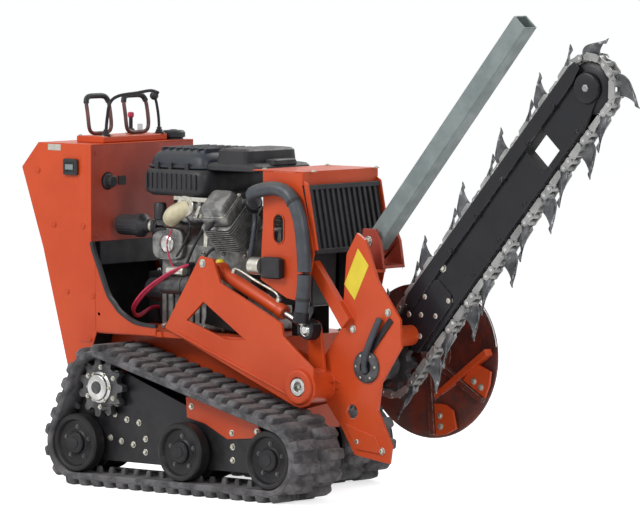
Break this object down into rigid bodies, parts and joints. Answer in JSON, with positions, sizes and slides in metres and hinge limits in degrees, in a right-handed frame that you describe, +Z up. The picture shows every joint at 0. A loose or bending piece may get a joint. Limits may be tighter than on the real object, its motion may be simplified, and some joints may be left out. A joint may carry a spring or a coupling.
{
  "type": "trencher",
  "caption": "Walk-behind trencher on rubber tracks: engine and operator console, hinged digging boom with toothed chain, soil auger and restraint bar.",
  "frame": {"origin": "on the ground under the middle of the machine's box", "axes": "+X towards the digging boom, +Y towards the auger side, +Z up"},
  "size_m": [2.4384, 0.8, 1.5819],
  "materials": {
    "orange_paint": "semi-gloss enamel",
    "auger_paint": "worn semi-gloss enamel",
    "black_paint": "satin enamel",
    "black_plastic": "fine grain",
    "track_rubber": "dusty matt",
    "wheel_rubber": "matt",
    "cast_iron": "as cast",
    "engine_casting": "as cast",
    "bright_steel": "machined",
    "grey_paint": "satin",
    "chain_steel": "worn",
    "hose_rubber": "satin",
    "red_cable": "satin"
  },
  "bodies": {
    "root": {"air_cleaner_cover": "black_plastic", "battery": "black_plastic", "battery_cable": "red_cable", "blower_housing": "black_plastic", "boom_hose": "hose_rubber", "carburettor": "engine_casting", "chassis_frame": "orange_paint", "console_front": "orange_paint", "console_side_far": "orange_paint", "console_side_near": "orange_paint", "console_wrap": "orange_paint", "control_plate": "black_paint", "cylinder_far": "engine_casting", "cylinder_near": "engine_casting", "drive_motor_far": "cast_iron", "drive_motor_near": "cast_iron", "engine_block": "engine_casting", "front_grille": "black_plastic", "fuel_tank": "black_plastic", "gusset_near": "orange_paint", "hood_cheek_near": "orange_paint", "hood_top": "orange_paint", "hour_meter": "black_plastic", "hydraulic_pump": "cast_iron", "hydraulic_tank": "black_plastic", "muffler": "cast_iron", "oil_filter": "black_paint", "pivot_pin": "bright_steel", "track_belt_far": "track_rubber", "track_belt_near": "track_rubber", "track_frame_far": "black_paint", "track_frame_near": "black_paint"},
    "drive_sprocket_near": {"drive_sprocket_near": "cast_iron"},
    "rear_idler_near": {"rear_idler_near": "wheel_rubber"},
    "mid_roller_near": {"mid_roller_near": "wheel_rubber"},
    "front_idler_near": {"front_idler_near": "wheel_rubber"},
    "drive_sprocket_far": {"drive_sprocket_far": "cast_iron"},
    "rear_idler_far": {"rear_idler_far": "wheel_rubber"},
    "mid_roller_far": {"mid_roller_far": "wheel_rubber"},
    "front_idler_far": {"front_idler_far": "wheel_rubber"},
    "boom": {"swing_frame": "orange_paint", "bar_bracket": "auger_paint", "boom_bar": "black_paint", "digging_chain": "chain_steel", "chain_drive_motor": "cast_iron"},
    "lift_barrel": {"lift_cylinder_barrel": "orange_paint"},
    "lift_rod": {"lift_cylinder_rod": "bright_steel", "rod_end_block": "black_paint"},
    "restraint_bar": {"restraint_bar": "grey_paint"},
    "headshaft": {"headshaft": "cast_iron", "soil_auger": "auger_paint"},
    "nose_roller": {"nose_roller": "cast_iron"},
    "traction_lever_left": {"traction_lever_left": "bright_steel"},
    "traction_lever_right": {"traction_lever_right": "bright_steel"},
    "boom_lever": {"boom_lever": "black_paint"},
    "chain_lever": {"chain_lever": "black_paint"},
    "throttle_lever": {"throttle_lever": "black_paint"},
    "ignition_key": {"ignition_key": "bright_steel"},
    "fuel_cap": {"fuel_cap": "black_plastic"}
  },
  "joints": [
    {"name": "near_sprocket_spin", "type": "hinge", "parent": "root", "child": "drive_sprocket_near", "pos_m": [-0.74716, -0.28, 0.33], "axis": [0, 1, 0], "continuous": true},
    {"name": "rear_idler_near_spin", "type": "hinge", "parent": "root", "child": "rear_idler_near", "pos_m": [-0.84216, -0.28, 0.1403], "axis": [0, 1, 0], "continuous": true},
    {"name": "mid_roller_near_spin", "type": "hinge", "parent": "root", "child": "mid_roller_near", "pos_m": [-0.36716, -0.28, 0.1403], "axis": [0, 1, 0], "continuous": true},
    {"name": "front_idler_near_spin", "type": "hinge", "parent": "root", "child": "front_idler_near", "pos_m": [0.02284, -0.28, 0.1403], "axis": [0, 1, 0], "continuous": true},
    {"name": "far_sprocket_spin", "type": "hinge", "parent": "root", "child": "drive_sprocket_far", "pos_m": [-0.74716, 0.28, 0.33], "axis": [0, 1, 0], "continuous": true},
    {"name": "rear_idler_far_spin", "type": "hinge", "parent": "root", "child": "rear_idler_far", "pos_m": [-0.84216, 0.28, 0.1403], "axis": [0, 1, 0], "continuous": true},
    {"name": "mid_roller_far_spin", "type": "hinge", "parent": "root", "child": "mid_roller_far", "pos_m": [-0.51216, 0.28, 0.1403], "axis": [0, 1, 0], "continuous": true},
    {"name": "front_idler_far_spin", "type": "hinge", "parent": "root", "child": "front_idler_far", "pos_m": [-0.24216, 0.28, 0.1403], "axis": [0, 1, 0], "continuous": true},
    {"name": "boom_lift", "type": "hinge", "parent": "root", "child": "boom", "pos_m": [0.03784, 0, 0.37], "axis": [0, 1, 0], "range_deg": [0, 70]},
    {"name": "barrel_tilt", "type": "hinge", "parent": "root", "child": "lift_barrel", "pos_m": [-0.36716, -0.19, 0.725], "axis": [0, 1, 0], "range_deg": [-0.5, 3.12]},
    {"name": "rod_slide", "type": "slide", "parent": "lift_barrel", "child": "lift_rod", "axis": [0.9178, 0, -0.397], "range_m": [-0.002, 0.2133]},
    {"name": "restraint_bar_fold", "type": "hinge", "parent": "boom", "child": "restraint_bar", "pos_m": [0.16784, 0, 0.84], "axis": [0, 1, 0], "range_deg": [-60, 0]},
    {"name": "headshaft_spin", "type": "hinge", "parent": "boom", "child": "headshaft", "pos_m": [0.23284, 0, 0.44], "axis": [0, 1, 0], "continuous": true},
    {"name": "nose_roller_spin", "type": "hinge", "parent": "boom", "child": "nose_roller", "pos_m": [1.0524, 0, 1.35986], "axis": [0, 1, 0], "continuous": true},
    {"name": "traction_left_tilt", "type": "hinge", "parent": "root", "child": "traction_lever_left", "pos_m": [-1.00216, -0.095, 1.1541], "axis": [0, 1, 0], "range_deg": [-18, 18], "stiffness_Nm_per_rad": 4},
    {"name": "traction_right_tilt", "type": "hinge", "parent": "root", "child": "traction_lever_right", "pos_m": [-0.96216, 0.045, 1.1541], "axis": [0, 1, 0], "range_deg": [-18, 18], "stiffness_Nm_per_rad": 4},
    {"name": "boom_lever_tilt", "type": "hinge", "parent": "root", "child": "boom_lever", "pos_m": [-0.94216, -0.13, 1.1586], "axis": [0, 1, 0], "range_deg": [-20, 20], "stiffness_Nm_per_rad": 3},
    {"name": "chain_lever_tilt", "type": "hinge", "parent": "root", "child": "chain_lever", "pos_m": [-0.94216, 0.13, 1.1586], "axis": [0, 1, 0], "range_deg": [-20, 20]},
    {"name": "throttle_tilt", "type": "hinge", "parent": "root", "child": "throttle_lever", "pos_m": [-1.02216, 0.075, 1.1556], "axis": [0, 1, 0], "range_deg": [-35, 35]},
    {"name": "ignition_key_turn", "type": "hinge", "parent": "root", "child": "ignition_key", "pos_m": [-1.02216, 0.12, 1.1476], "axis": [0, 0, 1], "range_deg": [-90, 0]},
    {"name": "fuel_cap_turn", "type": "hinge", "parent": "root", "child": "fuel_cap", "pos_m": [-0.93716, 0.195, 1.1313], "axis": [0, 0, 1], "range_deg": [-90, 0]}
  ],
  "couplings": [
    {"joint": "rear_idler_near_spin", "follows": "near_sprocket_spin", "ratio": 1.0204},
    {"joint": "mid_roller_near_spin", "follows": "near_sprocket_spin", "ratio": 1.0204},
    {"joint": "front_idler_near_spin", "follows": "near_sprocket_spin", "ratio": 1.0204},
    {"joint": "rear_idler_far_spin", "follows": "far_sprocket_spin", "ratio": 1.0204},
    {"joint": "mid_roller_far_spin", "follows": "far_sprocket_spin", "ratio": 1.0204},
    {"joint": "front_idler_far_spin", "follows": "far_sprocket_spin", "ratio": 1.0204},
    {"joint": "barrel_tilt", "follows": "boom_lift", "ratio": 0.03741},
    {"joint": "rod_slide", "follows": "boom_lift", "m_per_rad": 0.17297},
    {"joint": "nose_roller_spin", "follows": "headshaft_spin", "ratio": 1}
  ]
}
